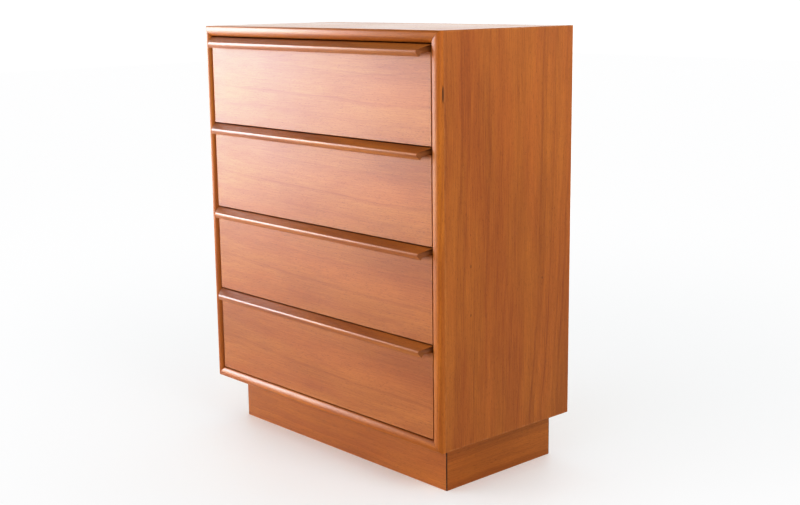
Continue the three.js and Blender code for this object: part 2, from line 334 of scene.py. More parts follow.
def node_group(name, kind, inputs, outputs):
    """A new node group with the sockets named in inputs and outputs, and its two inner ends."""
    tree = bpy.data.node_groups.new(name, kind)
    for direction, sockets in (("INPUT", inputs), ("OUTPUT", outputs)):
        for title, value in sockets:
            tree.interface.new_socket(title, in_out=direction, socket_type="NodeSocket" + value)
    given = tree.nodes.new("NodeGroupInput").outputs
    made = tree.nodes.new("NodeGroupOutput").inputs
    return tree, given, made


def timber_group():
    """Shared figure of a sawn board: growth rings about a pith, fibres, pores and drifts of colour.

    Place is in metres along, across and through the board. The rings are nested cones, so that a board
    cut near the pith shows arches and one cut far from it shows stripes.
    """
    name = "timber_figure"
    if name in bpy.data.node_groups:
        return bpy.data.node_groups[name]
    numbers = ("Leaf", "Pith across", "Pith depth", "Tilt", "Ring rate", "Wobble")
    tree, given, made = node_group(
        name, "ShaderNodeTree", [("Place", "Vector"), *((title, "Float") for title in numbers)],
        [(title, "Float") for title in ("Rings", "Lines", "Fibre", "Pores", "Drift")])
    place, leaf = given["Place"], given["Leaf"]
    parts = split(tree, place)
    along, across, through = parts

    slow = noise(tree, stretched(tree, place, (1.7, 6.0, 6.0)), leaf, 2.0)
    slow_shift = maths(tree, "MULTIPLY", maths(tree, "SUBTRACT", slow, 0.5), given["Wobble"])
    quick_seed = maths(tree, "ADD", leaf, 7.3)
    quick = noise(tree, stretched(tree, place, (7.0, 70.0, 70.0)), quick_seed, 3.0)
    quick_shift = maths(tree, "MULTIPLY", maths(tree, "SUBTRACT", quick, 0.5), 0.004)
    from_pith = maths(tree, "SUBTRACT", across, given["Pith across"])
    from_pith = maths(tree, "ADD", from_pith, maths(tree, "ADD", slow_shift, quick_shift))
    depth_seed = maths(tree, "ADD", leaf, 13.1)
    bow = noise(tree, stretched(tree, place, (2.6, 1.5, 1.5)), depth_seed, 2.0)
    bow_shift = maths(tree, "MULTIPLY", maths(tree, "SUBTRACT", bow, 0.5), given["Wobble"])
    depth = maths(tree, "MULTIPLY_ADD", along, given["Tilt"], given["Pith depth"])
    depth = maths(tree, "ADD", maths(tree, "ADD", depth, through), bow_shift)
    sideways = maths(tree, "MULTIPLY", from_pith, from_pith)
    squares = maths(tree, "ADD", sideways, maths(tree, "MULTIPLY", depth, depth))
    radius = maths(tree, "SQRT", squares)
    ring_place = maths(tree, "MULTIPLY_ADD", radius, given["Ring rate"], maths(tree, "MULTIPLY", leaf, 1.7))
    rings = line_noise(tree, ring_place, 2.0, 0.55)
    connect(tree, spread(tree, rings, 0.3, 0.7), made["Rings"])
    line_place = maths(tree, "MULTIPLY_ADD", ring_place, 3.3, 11.0)
    lines = line_noise(tree, line_place, 2.0, 0.6)
    patches = noise(tree, stretched(tree, place, (2.2, 17.0, 17.0)), maths(tree, "ADD", leaf, 19.7), 2.0)
    shown = spread(tree, patches, 0.38, 0.62, 0.15, 1.0)
    connect(tree, maths(tree, "MULTIPLY", spread(tree, lines, 0.48, 0.78), shown), made["Lines"])

    fibre = noise(tree, stretched(tree, place, (16.0, 620.0, 620.0)), leaf, 3.0, 0.62)
    connect(tree, spread(tree, fibre, 0.28, 0.72), made["Fibre"])
    pores = noise(tree, stretched(tree, place, (130.0, 2300.0, 2300.0)), quick_seed, 1.0)
    connect(tree, spread(tree, pores, 0.6, 0.72), made["Pores"])
    drift = noise(tree, stretched(tree, place, (2.4, 9.0, 9.0)), depth_seed, 3.0)
    connect(tree, spread(tree, drift, 0.3, 0.7), made["Drift"])
    return tree


def face_distances(tree, place):
    """Distances from a point on a board to the nearest faces along, across and through it."""
    sizes = attribute(tree, "board_half_size")
    gaps = vector_maths(tree, "SUBTRACT", sizes, vector_maths(tree, "ABSOLUTE", place))
    return split(tree, gaps)


def new_material(name):
    """A new node material, with its tree and its shader."""
    material = bpy.data.materials.new(name)
    material.use_nodes = True
    return material, material.node_tree, material.node_tree.nodes["Principled BSDF"]


def edge_distance(tree, place):
    """Distance from a point on a board to the nearest of the board's edges."""
    first, second, third = face_distances(tree, place)
    least = maths(tree, "MINIMUM", first, second)
    most = maths(tree, "MAXIMUM", first, second)
    return maths(tree, "MAXIMUM", least, maths(tree, "MINIMUM", most, third))


def spots(tree, place, spot_list):
    """Mask of small marks, each given as its centre and its half sizes along, across and through."""
    mask = None
    for centre, reach in spot_list:
        offset = vector_maths(tree, "SUBTRACT", place, centre)
        scaled = vector_maths(tree, "DIVIDE", offset, reach)
        distance = vector_maths(tree, "LENGTH", scaled)
        one = spread(tree, distance, 0.55, 1.0, 1.0, 0.0)
        mask = one if mask is None else maths(tree, "MAXIMUM", mask, one)
    return mask


def timber(name, light, dark, roughness, figure, strength, marks=(), mark_depth=1.0, arris=0.35, level=0.2,
           seam=0.0):
    """A finish of sawn timber.

    figure holds the pith's place across and in depth, its tilt, the ring rate and the wobble. strength holds
    how strongly the rings, fine lines, fibres and drifts show. marks are dark spots, arris is how much the
    worn edges show, level is the strength of the mirror and seam the width of a dark line at the board's ends.
    """
    if name in bpy.data.materials:
        return bpy.data.materials[name]
    material, tree, shader = new_material(name)
    place = attribute(tree, "board_place")
    leaf = attribute(tree, "board_leaf", "Fac")
    end = attribute(tree, "board_end", "Fac")
    group = tree.nodes.new("ShaderNodeGroup")
    group.node_tree = timber_group()
    connect(tree, place, group.inputs["Place"])
    connect(tree, leaf, group.inputs["Leaf"])
    for title, value in zip(("Pith across", "Pith depth", "Tilt", "Ring rate", "Wobble"), figure):
        group.inputs[title].default_value = value
    rings, lines, fibre, pores, drift = group.outputs

    ring_share, line_share, fibre_share, drift_share = strength
    tone = maths(tree, "MULTIPLY_ADD", maths(tree, "SUBTRACT", rings, 0.5), ring_share, 0.5)
    tone = maths(tree, "MULTIPLY_ADD", maths(tree, "SUBTRACT", fibre, 0.5), fibre_share, tone)
    tone = maths(tree, "MULTIPLY_ADD", maths(tree, "SUBTRACT", drift, 0.5), drift_share, tone)
    tone = maths(tree, "SUBTRACT", tone, maths(tree, "MULTIPLY", lines, line_share), clamp=True)
    colour = blended(tree, tone, opaque(dark), opaque(light))
    warmth_seed = maths(tree, "ADD", leaf, 31.4)
    warmth = noise(tree, stretched(tree, place, (3.2, 19.0, 19.0)), warmth_seed, 3.0)
    warmth = spread(tree, warmth, 0.36, 0.64)
    tint = blended(tree, warmth, opaque((0.99, 0.95, 0.97)), opaque((1.01, 1.045, 1.0)))
    colour = vector_maths(tree, "MULTIPLY", colour, tint)
    pore_colour = opaque([channel * 0.42 for channel in dark])
    colour = blended(tree, maths(tree, "MULTIPLY", pores, 0.75), colour, pore_colour)
    end_colour = opaque([channel * 0.55 for channel in dark])
    colour = blended(tree, maths(tree, "MULTIPLY", end, 0.6), colour, end_colour)

    edge = spread(tree, edge_distance(tree, place), 0.0004, 0.0045, 1.0, 0.0)
    patchy = noise(tree, stretched(tree, place, (55.0, 90.0, 90.0)), leaf, 2.0)
    worn = maths(tree, "MULTIPLY", edge, spread(tree, patchy, 0.38, 0.66, 0.1, 1.0))
    worn_colour = opaque([channel * 0.8 + 0.2 * lift for channel, lift in zip(light, (0.8, 0.5, 0.26))])
    colour = blended(tree, maths(tree, "MULTIPLY", worn, arris), colour, worn_colour)
    if marks:
        mark_mask = spots(tree, place, marks)
        shown = maths(tree, "MULTIPLY", mark_mask, mark_depth)
        colour = blended(tree, shown, colour, opaque([channel * 0.16 for channel in dark]))
    if seam:
        open_joint = spread(tree, face_distances(tree, place)[0], 0.6 * seam, seam, 0.85, 0.0)
        colour = blended(tree, open_joint, colour, opaque([channel * 0.1 for channel in dark]))
    connect(tree, colour, shader.inputs["Base Color"])

    hazy = noise(tree, stretched(tree, place, (5.0, 12.0, 12.0)), leaf, 3.0)
    gloss = maths(tree, "MULTIPLY_ADD", maths(tree, "SUBTRACT", hazy, 0.5), 0.1, roughness)
    gloss = maths(tree, "MULTIPLY_ADD", pores, 0.14, gloss)
    gloss = maths(tree, "MULTIPLY_ADD", worn, 0.08, gloss)
    gloss = maths(tree, "MULTIPLY_ADD", end, 0.12, gloss)
    connect(tree, gloss, shader.inputs["Roughness"])
    shader.inputs["IOR"].default_value = 1.5
    shader.inputs["Specular IOR Level"].default_value = level

    height = maths(tree, "MULTIPLY_ADD", pores, -1.0, maths(tree, "MULTIPLY", fibre, 0.35))
    if marks:
        height = maths(tree, "MULTIPLY_ADD", mark_mask, -4.0, height)
    bump = tree.nodes.new("ShaderNodeBump")
    bump.inputs["Strength"].default_value = 0.35
    bump.inputs["Distance"].default_value = 0.05 * MM
    connect(tree, height, bump.inputs["Height"])
    connect(tree, bump.outputs[0], shader.inputs["Normal"])
    return material


def finishes(context):
    """All the finishes by name, made once from the settings."""
    colours = context.scene.chest_finishes
    show, inside = colours.show_roughness, colours.inside_roughness
    low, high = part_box("right_panel")
    outside = -(high.x - low.x) / 2
    knots = [((-0.045, -0.112, outside), (0.005, 0.0025, 0.004)),
             ((-0.143, -0.112, outside), (0.004, 0.0025, 0.004)),
             ((-0.1, 0.097, outside), (0.003, 0.003, 0.004))]
    fleck = [((0.292, 0.0045, outside), (0.021, 0.0022, 0.004))]
    return {
        "side_veneer": timber(
            "teak_side_veneer", colours.veneer_light, colours.veneer_dark, show,
            (0.4, 0.2, 0.06, 36.0, 0.07), (0.26, 0.45, 0.6, 0.4)),
        "right_veneer": timber(
            "teak_right_veneer", colours.veneer_light, colours.veneer_dark, show,
            (0.4, 0.2, 0.06, 36.0, 0.07), (0.26, 0.45, 0.6, 0.4), marks=knots, mark_depth=0.4),
        "front_veneer": timber(
            "teak_front_veneer", colours.front_light, colours.front_dark, show,
            (-0.3, 0.15, 0.015, 45.0, 0.05), (0.24, 0.3, 0.5, 0.6)),
        "lipping": timber(
            "teak_lipping", colours.solid_light, colours.solid_dark, show + 0.02,
            (0.05, 0.2, 0.02, 110.0, 0.02), (0.5, 0.2, 0.4, 0.5), arris=0.15),
        "right_lipping": timber(
            "teak_right_lipping", colours.solid_light, colours.solid_dark, show + 0.16,
            (0.05, 0.2, 0.02, 110.0, 0.02), (0.5, 0.2, 0.4, 0.5), arris=0.15, marks=fleck),
        "pull": timber(
            "teak_pull", colours.pull_light, colours.pull_dark, show + 0.03,
            (0.03, 0.15, 0.03, 120.0, 0.02), (0.5, 0.25, 0.4, 0.5), arris=0.2, level=0.36),
        "plinth": timber(
            "teak_plinth", colours.plinth_light, colours.plinth_dark, show + 0.06,
            (-0.25, 0.15, 0.03, 60.0, 0.04), (0.25, 0.3, 0.4, 0.5), arris=0.25, seam=1.5 * MM),
        "drawer_wood": timber(
            "pale_drawer_wood", colours.box_light, colours.box_dark, inside,
            (-0.1, 0.16, 0.04, 110.0, 0.03), (0.4, 0.25, 0.4, 0.4), arris=0.2, level=0.35),
        "plywood": timber(
            "brown_plywood", colours.plywood_light, colours.plywood_dark, inside + 0.05,
            (0.0, 0.3, 0.1, 60.0, 0.09), (0.5, 0.15, 0.4, 0.4), arris=0.2, level=0.35),
    }


def screw_steel():
    """Dull zinc-plated steel for screw heads."""
    name = "screw_steel"
    if name in bpy.data.materials:
        return bpy.data.materials[name]
    material, tree, shader = new_material(name)
    coordinates = tree.nodes.new("ShaderNodeTexCoord").outputs["Object"]
    tarnish = noise(tree, stretched(tree, coordinates, (420.0, 420.0, 420.0)), 1.0, 3.0)
    stained = spread(tree, tarnish, 0.35, 0.7)
    colour = blended(tree, stained, (0.42, 0.39, 0.33, 1), (0.2, 0.17, 0.13, 1))
    connect(tree, colour, shader.inputs["Base Color"])
    connect(tree, maths(tree, "MULTIPLY_ADD", stained, 0.25, 0.32), shader.inputs["Roughness"])
    shader.inputs["Metallic"].default_value = 1.0
    bump = tree.nodes.new("ShaderNodeBump")
    bump.inputs["Strength"].default_value = 0.3
    bump.inputs["Distance"].default_value = 0.05 * MM
    connect(tree, tarnish, bump.inputs["Height"])
    connect(tree, bump.outputs[0], shader.inputs["Normal"])
    return material


# ---------------------------------------------------------------- geometry nodes


def moulding_tree():
    """Draws a section out along X, and mitres both ends by how far a point lies below a level."""
    name = "mitred_moulding"
    if name in bpy.data.node_groups:
        return bpy.data.node_groups[name]
    tree, given, made = node_group(
        name, "GeometryNodeTree",
        [("Section", "Geometry"), ("Half length", "Float"), ("Mitre direction", "Vector"),
         ("Mitre level", "Float"), ("Mitre slope", "Float"), ("Material", "Material")],
        [("Moulding", "Geometry")])
    tree.is_modifier = True

    extrude = tree.nodes.new("GeometryNodeExtrudeMesh")
    extrude.inputs["Individual"].default_value = False
    connect(tree, given["Section"], extrude.inputs["Mesh"])
    connect(tree, (1.0, 0.0, 0.0), extrude.inputs["Offset"])
    extrude.inputs["Offset Scale"].default_value = 2.0
    flip = tree.nodes.new("GeometryNodeFlipFaces")
    connect(tree, given["Section"], flip.inputs[0])
    join = tree.nodes.new("GeometryNodeJoinGeometry")
    connect(tree, flip.outputs[0], join.inputs[0])
    connect(tree, extrude.outputs["Mesh"], join.inputs[0])
    merge = tree.nodes.new("GeometryNodeMergeByDistance")
    merge.inputs["Distance"].default_value = 1e-6
    connect(tree, join.outputs[0], merge.inputs["Geometry"])

    position = tree.nodes.new("GeometryNodeInputPosition").outputs[0]
    parts = split(tree, position)
    side = maths(tree, "SIGN", parts[0])
    level = vector_maths(tree, "DOT_PRODUCT", position, given["Mitre direction"])
    below = maths(tree, "MAXIMUM", maths(tree, "SUBTRACT", given["Mitre level"], level), 0.0)
    cut = maths(tree, "MULTIPLY", below, given["Mitre slope"])
    reach = maths(tree, "MULTIPLY", side, maths(tree, "SUBTRACT", given["Half length"], cut))
    place = tree.nodes.new("ShaderNodeCombineXYZ")
    connect(tree, reach, place.inputs[0])
    connect(tree, parts[1], place.inputs[1])
    connect(tree, parts[2], place.inputs[2])
    shape = tree.nodes.new("GeometryNodeSetPosition")
    connect(tree, merge.outputs[0], shape.inputs["Geometry"])
    connect(tree, place.outputs[0], shape.inputs["Position"])
    real = tree.nodes.new("GeometryNodeRealizeInstances")
    connect(tree, shape.outputs[0], real.inputs[0])
    paint = tree.nodes.new("GeometryNodeSetMaterial")
    connect(tree, real.outputs[0], paint.inputs["Geometry"])
    connect(tree, given["Material"], paint.inputs["Material"])
    connect(tree, paint.outputs[0], made["Moulding"])
    return tree


def screw_tree():
    """Puts a slotted, countersunk screw head at each point, its slot turned at random about Z."""
    name = "slotted_screws"
    if name in bpy.data.node_groups:
        return bpy.data.node_groups[name]
    tree, given, made = node_group(
        name, "GeometryNodeTree",
        [("Places", "Geometry"), ("Head width", "Float"), ("Head height", "Float"),
         ("Stand proud", "Float"), ("Seed", "Int"), ("Material", "Material")],
        [("Screws", "Geometry")])
    tree.is_modifier = True

    rim = maths(tree, "MULTIPLY", given["Head width"], 0.5)
    cone = tree.nodes.new("GeometryNodeMeshCone")
    cone.inputs["Vertices"].default_value = 28
    connect(tree, rim, cone.inputs["Radius Top"])
    connect(tree, maths(tree, "MULTIPLY", rim, 0.5), cone.inputs["Radius Bottom"])
    connect(tree, maths(tree, "ADD", given["Head height"], given["Stand proud"]), cone.inputs["Depth"])
    drop = tree.nodes.new("ShaderNodeCombineXYZ")
    connect(tree, maths(tree, "MULTIPLY", given["Head height"], -1.0), drop.inputs[2])
    head = tree.nodes.new("GeometryNodeTransform")
    connect(tree, cone.outputs["Mesh"], head.inputs["Geometry"])
    connect(tree, drop.outputs[0], head.inputs["Translation"])
    slot_size = tree.nodes.new("ShaderNodeCombineXYZ")
    connect(tree, maths(tree, "MULTIPLY", given["Head width"], 1.2), slot_size.inputs[0])
    connect(tree, maths(tree, "MULTIPLY", given["Head width"], 0.15), slot_size.inputs[1])
    connect(tree, given["Head height"], slot_size.inputs[2])
    slot = tree.nodes.new("GeometryNodeMeshCube")
    connect(tree, slot_size.outputs[0], slot.inputs["Size"])
    cut = tree.nodes.new("GeometryNodeMeshBoolean")
    cut.operation = "DIFFERENCE"
    connect(tree, head.outputs[0], cut.inputs["Mesh 1"])
    connect(tree, slot.outputs["Mesh"], cut.inputs["Mesh 2"])

    turn = tree.nodes.new("FunctionNodeRandomValue")
    turn.data_type = "FLOAT"
    low, high = [socket for socket in turn.inputs if socket.name in ("Min", "Max") and socket.type == "VALUE"
                 and socket.enabled][:2]
    low.default_value = 0.0
    high.default_value = pi
    connect(tree, given["Seed"], turn.inputs["Seed"])
    angle = next(socket for socket in turn.outputs if socket.type == "VALUE" and socket.enabled)
    euler = tree.nodes.new("ShaderNodeCombineXYZ")
    connect(tree, angle, euler.inputs[2])
    spin = tree.nodes.new("FunctionNodeEulerToRotation")
    connect(tree, euler.outputs[0], spin.inputs[0])
    scatter = tree.nodes.new("GeometryNodeInstanceOnPoints")
    connect(tree, given["Places"], scatter.inputs["Points"])
    connect(tree, cut.outputs[0], scatter.inputs["Instance"])
    connect(tree, spin.outputs[0], scatter.inputs["Rotation"])
    real = tree.nodes.new("GeometryNodeRealizeInstances")
    connect(tree, scatter.outputs[0], real.inputs[0])
    paint = tree.nodes.new("GeometryNodeSetMaterial")
    connect(tree, real.outputs[0], paint.inputs["Geometry"])
    connect(tree, given["Material"], paint.inputs["Material"])
    connect(tree, paint.outputs[0], made["Screws"])
    return tree


def grown(mesh, tree, name, values):
    """The plain mesh that a node tree makes from a mesh, with the tree's inputs given by name."""
    seedling = bpy.data.objects.new(name, mesh)
    bpy.context.scene.collection.objects.link(seedling)
    modifier = seedling.modifiers.new(name, "NODES")
    modifier.node_group = tree
    sockets = {item.name: item.identifier for item in tree.interface.items_tree if item.in_out == "INPUT"}
    for title, value in values.items():
        modifier[sockets[title]] = value
    graph = bpy.context.evaluated_depsgraph_get()
    result = bpy.data.meshes.new_from_object(seedling.evaluated_get(graph))
    seedling.modifiers.clear()
    bpy.data.objects.remove(seedling)
    bpy.data.meshes.remove(mesh)
    result.materials.clear()
    result.materials.append(values["Material"])
    result.polygons.foreach_set("material_index", [0] * len(result.polygons))
    return result


# ---------------------------------------------------------------- meshes


def flat_section(points):
    """A single face at X = -1 from points in (Y, Z), facing -X."""
    mesh = bpy.data.meshes.new("section")
    shell = bmesh.new()
    corners = [shell.verts.new((-1.0, y, z)) for y, z in points]
    face = shell.faces.new(corners)
    face.normal_update()
    if face.normal.x < 0:
        face.normal_flip()
    shell.to_mesh(mesh)
    shell.free()
    return mesh


def soften(shell, width, segments, corner):
    """Ease the outward edges that turn by more than corner, and shade curved stretches smoothly."""
    for face in shell.faces:
        turns = [edge.calc_face_angle(0.0) for edge in face.edges if edge.is_manifold]
        face.smooth = sum(0.005 < turn < corner for turn in turns) > 1
    sharp = [edge for edge in shell.edges
             if edge.is_manifold and edge.is_convex and edge.calc_face_angle(0.0) > corner]
    eased = bmesh.ops.bevel(shell, geom=sharp, offset=width, segments=segments, profile=0.5, affect="EDGES",
                            clamp_overlap=True)
    for face in eased["faces"]:
        face.smooth = True


def grain(mesh, along, across, leaf):
    """Store, for the finish, each point's place on its board and which faces are end grain."""
    through = along.cross(across)
    turn = Matrix((along, across, through))
    places = [turn @ vertex.co for vertex in mesh.vertices]
    low = Vector([min(place[axis] for place in places) for axis in range(3)])
    high = Vector([max(place[axis] for place in places) for axis in range(3)])
    middle, half = (low + high) / 2, (high - low) / 2
    for name, kind, domain in (
            ("board_place", "FLOAT_VECTOR", "POINT"), ("board_half_size", "FLOAT_VECTOR", "POINT"),
            ("board_leaf", "FLOAT", "POINT"), ("board_end", "FLOAT", "FACE")):
        mesh.attributes.new(name, kind, domain)
    stored = mesh.attributes
    stored["board_place"].data.foreach_set("vector", [part for place in places for part in place - middle])
    stored["board_half_size"].data.foreach_set("vector", list(half) * len(places))
    stored["board_leaf"].data.foreach_set("value", [leaf] * len(places))
    ends = [1.0 if abs(face.normal.dot(along)) > 0.6 else 0.0 for face in mesh.polygons]
    stored["board_end"].data.foreach_set("value", ends)


def stand_for(mesh, name, body, slot, *nodes):
    """Place a finished mesh in the scene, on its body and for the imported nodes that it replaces."""
    piece = bpy.data.objects.new(name, mesh)
    bpy.context.scene.collection.objects.link(piece)
    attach(piece, body)
    if nodes:
        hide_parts(*nodes)
    return piece


def moulded(node, depth, outward, section, material, ease, mitre=None, corner=radians(32)):
    """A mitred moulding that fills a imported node's box, from its section in (depth, outward).

    mitre holds the direction, level and slope of the mitre in the section's own axes. Left out, it is a
    45 degree mitre, longest outside.
    """
    low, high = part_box(node)
    along = depth.cross(outward)
    size = high - low
    half = abs(size.dot(along)) / 2
    thickness = abs(size.dot(outward))
    direction, level, slope = mitre or ((0.0, 0.0, 1.0), thickness, 1.0)
    mesh = grown(flat_section(section), moulding_tree(), node + "_moulding", {
        "Half length": half, "Mitre direction": list(direction), "Mitre level": level, "Mitre slope": slope,
        "Material": material})
    middle = (low + high) / 2
    inner = min(low.dot(outward), high.dot(outward))
    near = min(low.dot(depth), high.dot(depth))
    origin = middle + outward * (inner - middle.dot(outward)) + depth * (near - middle.dot(depth))
    turn = Matrix((along, depth, outward)).transposed().to_4x4()
    mesh.transform(Matrix.Translation(origin) @ turn)
    shell = bmesh.new()
    shell.from_mesh(mesh)
    soften(shell, ease, 2, corner)
    shell.to_mesh(mesh)
    shell.free()
    return mesh


def eased_copy(node, material, ease, segments=2):
    """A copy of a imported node, joined into one skin of flat faces and with its outward edges eased."""
    mesh = frame["nodes"][node].data.copy()
    mesh.name = node + "_eased"
    shell = bmesh.new()
    shell.from_mesh(mesh)
    bmesh.ops.remove_doubles(shell, verts=shell.verts, dist=1e-5)
    bmesh.ops.dissolve_limit(shell, angle_limit=radians(0.5), verts=shell.verts, edges=shell.edges)
    soften(shell, ease, segments, radians(25))
    shell.to_mesh(mesh)
    shell.free()
    if "custom_normal" in mesh.attributes:
        mesh.attributes.remove(mesh.attributes["custom_normal"])
    for layer in list(mesh.uv_layers):
        mesh.uv_layers.remove(layer)
    mesh.materials.clear()
    mesh.materials.append(material)
    return mesh


def screws(name, body, slot, places, outward, width, proud):
    """Screw heads at places on a face that looks along outward."""
    settings = bpy.context.scene.chest_screws
    turn = outward.to_track_quat("Z", "Y").to_matrix()
    back = turn.transposed()
    mesh = bpy.data.meshes.new(name)
    mesh.from_pydata([back @ Vector(place) for place in places], [], [])
    result = grown(mesh, screw_tree(), name + "_points", {
        "Head width": width, "Head height": HEAD_HEIGHT, "Stand proud": proud, "Seed": settings.seed,
        "Material": screw_steel()})
    result.transform(turn.to_4x4())
    return stand_for(result, name, body, slot)


# ---------------------------------------------------------------- case


def panel_section(node, outward):
    """Section of a case panel, with the rebate that holds the back."""
    low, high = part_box(node)
    back_low, back_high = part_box("back_panel")
    depth = high.y - low.y
    thickness = abs((high - low).dot(outward))
    rebate_start = back_low.y - JOINT_GAP - low.y
    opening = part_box("right_panel")[0].x
    rebate = back_high.x - opening + JOINT_GAP
    return [(0, 0), (rebate_start, 0), (rebate_start, rebate),
            (depth, rebate), (depth, thickness), (0, thickness)]


class CHEST_OT_case_panels(bpy.types.Operator):
    """Make the four veneered panels of the case"""

    bl_idname = "chest.case_panels"
    bl_label = "Case panels"

    def execute(self, context):
        ease = context.scene.chest_case.edge_ease
        for number, (side, outward) in enumerate(CASE_SIDES.items()):
            node = f"{side}_panel"
            finish = finishes(context)["right_veneer" if side == "right" else "side_veneer"]
            section = panel_section(node, outward)
            mesh = moulded(node, Y_AXIS, outward, section, finish, ease)
            along = Z_AXIS if side in ("right", "left") else X_AXIS
            grain(mesh, along, Y_AXIS, 3.0 + 2.37 * number)
            stand_for(mesh, f"{side}_panel_teak", "case", "teak_veneer", node)
        return {"FINISHED"}


def nose_section(depth, thickness, nose, steps):
    """Section of a lipping with a rounded, half-elliptical nose."""
    points = [(depth, 0), (depth, thickness)]
    for step in range(steps + 1):
        angle = pi / 2 + pi * step / steps
        points.append((nose + nose * cos(angle), thickness / 2 + thickness / 2 * sin(angle)))
    return points


class CHEST_OT_case_lippings(bpy.types.Operator):
    """Make the solid edges with a rounded nose around the front of the case"""

    bl_idname = "chest.case_lippings"
    bl_label = "Case lippings"

    def execute(self, context):
        settings = context.scene.chest_case
        for number, (side, outward) in enumerate(CASE_SIDES.items()):
            node = f"{side}_lipping"
            low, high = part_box(node)
            panel_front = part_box(f"{side}_panel")[0].y
            depth = panel_front - low.y - 0.04 * MM
            thickness = abs((high - low).dot(outward))
            section = nose_section(depth, thickness, settings.nose_depth, settings.nose_steps)
            finish = finishes(context)["right_lipping" if side == "right" else "lipping"]
            mesh = moulded(node, Y_AXIS, outward, section, finish, settings.joint_ease)
            along = Z_AXIS if side in ("right", "left") else X_AXIS
            grain(mesh, along, Y_AXIS, 21.0 + 1.93 * number)
            stand_for(mesh, f"{side}_lipping_teak", "case", "teak_solid", node)
        return {"FINISHED"}


class CHEST_OT_back_panel(bpy.types.Operator):
    """Make the plywood back and the screws that hold it"""

    bl_idname = "chest.back_panel"
    bl_label = "Back panel"

    def execute(self, context):
        mesh = eased_copy("back_panel", finishes(context)["plywood"], 0.4 * MM)
        grain(mesh, Z_AXIS, X_AXIS, 33.0)
        stand_for(mesh, "back_panel_plywood", "case", "plywood", "back_panel")
        settings = context.scene.chest_screws
        low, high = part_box("back_panel")
        left, right = low.x + SCREW_INSET, high.x - SCREW_INSET
        base, top = low.z + SCREW_INSET, high.z - SCREW_INSET
        across = int((right - left) / settings.spacing) + 1
        upward = int((top - base) / settings.spacing) + 1
        places = [(left + (right - left) * step / across, high.y, level)
                  for level in (base, top) for step in range(across + 1)]
        places += [(side, high.y, base + (top - base) * step / upward)
                   for side in (left, right) for step in range(1, upward)]
        screws("back_panel_screws", "case", None, places, Y_AXIS, settings.head_width, 0.5 * MM)
        return {"FINISHED"}


# ---------------------------------------------------------------- plinth


class CHEST_OT_plinth(bpy.types.Operator):
    """Make the mitred plinth with its blocks and cross rail"""

    bl_idname = "chest.plinth"
    bl_label = "Plinth"

    def execute(self, context):
        settings = context.scene.chest_case
        materials = finishes(context)
        for number, (side, outward) in enumerate(PLINTH_SIDES.items()):
            node = f"plinth_{side}"
            low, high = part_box(node)
            height = high.z - low.z
            thickness = abs((high - low).dot(outward))
            section = [(0, 0), (height, 0), (height, thickness), (0, thickness)]
            mesh = moulded(node, Z_AXIS, outward, section, materials["plinth"], settings.plinth_ease)
            along = X_AXIS if side in ("front", "rear") else Y_AXIS
            grain(mesh, along, Z_AXIS, 41.0 + 3.1 * number)
            stand_for(mesh, f"plinth_{side}_teak", "case", "plinth_teak", node)
        blocks = [name for name in frame["nodes"] if name.startswith("plinth_block")]
        for number, node in enumerate(sorted(blocks)):
            mesh = eased_copy(node, materials["drawer_wood"], 1.2 * MM)
            grain(mesh, Z_AXIS, X_AXIS, 52.0 + 1.3 * number)
            stand_for(mesh, f"{node}_wood", "case", "drawer_wood", node)
        mesh = eased_copy("plinth_cross_rail", materials["drawer_wood"], 1 * MM)
        grain(mesh, Y_AXIS, Z_AXIS, 58.0)
        stand_for(mesh, "plinth_cross_rail_wood", "case", "drawer_wood", "plinth_cross_rail")
        places = []
        for node in blocks:
            low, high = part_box(node)
            places.append(((low.x + high.x) / 2, (low.y + high.y) / 2, low.z))
        width = context.scene.chest_screws.head_width
        screws("plinth_block_screws", "case", None, places, -Z_AXIS, width, 0.4 * MM)
        return {"FINISHED"}


# ---------------------------------------------------------------- runners


class CHEST_OT_runners(bpy.types.Operator):
    """Make the runners that the drawers hang on, with their screws"""

    bl_idname = "chest.runners"
    bl_label = "Runners"

    def execute(self, context):
        material = finishes(context)["drawer_wood"]
        runners = sorted(name for name in frame["nodes"] if name.startswith("runner_"))
        places = {"left": [], "right": []}
        for number, node in enumerate(runners):
            mesh = eased_copy(node, material, 0.7 * MM)
            grain(mesh, Y_AXIS, Z_AXIS, 61.0 + 0.9 * number)
            stand_for(mesh, f"{node}_wood", "case", "drawer_wood", node)
            low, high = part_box(node)
            side = "right" if node.endswith("right") else "left"
            face = low.x if side == "right" else high.x
            length = high.y - low.y
            places[side] += [(face, low.y + length * share, (low.z + high.z) / 2) for share in RUNNER_SCREWS]
        width = context.scene.chest_screws.small_head_width
        screws("runner_screws_left", "case", None, places["left"], X_AXIS, width, 0.2 * MM)
        screws("runner_screws_right", "case", None, places["right"], -X_AXIS, width, 0.2 * MM)
        return {"FINISHED"}


# ---------------------------------------------------------------- drawers


class CHEST_OT_drawer_fronts(bpy.types.Operator):
    """Make the four veneered drawer fronts"""

    bl_idname = "chest.drawer_fronts"
    bl_label = "Drawer fronts"

    def execute(self, context):
        ease = context.scene.chest_drawers.front_ease
        for number, body in enumerate(DRAWERS):
            node = f"{body}_front"
            mesh = eased_copy(node, finishes(context)["front_veneer"], ease)
            grain(mesh, X_AXIS, Z_AXIS, 71.0 + 0.09 * number)
            stand_for(mesh, f"{body}_front_teak", body, "teak_veneer", node)
        return {"FINISHED"}


def curve(start, bend, end, steps):
    """Points along a curve that leaves start towards bend and reaches end from it."""
    shares = [step / steps for step in range(steps + 1)]
    return [start.lerp(bend, share).lerp(bend.lerp(end, share), share) for share in shares]


def eased_corner(points, before, corner, after, reach, steps):
    """Add a curve that rounds the corner between two straight runs."""
    start = corner + (before - corner).normalized() * reach
    end = corner + (after - corner).normalized() * reach
    points += curve(start, corner, end, steps)


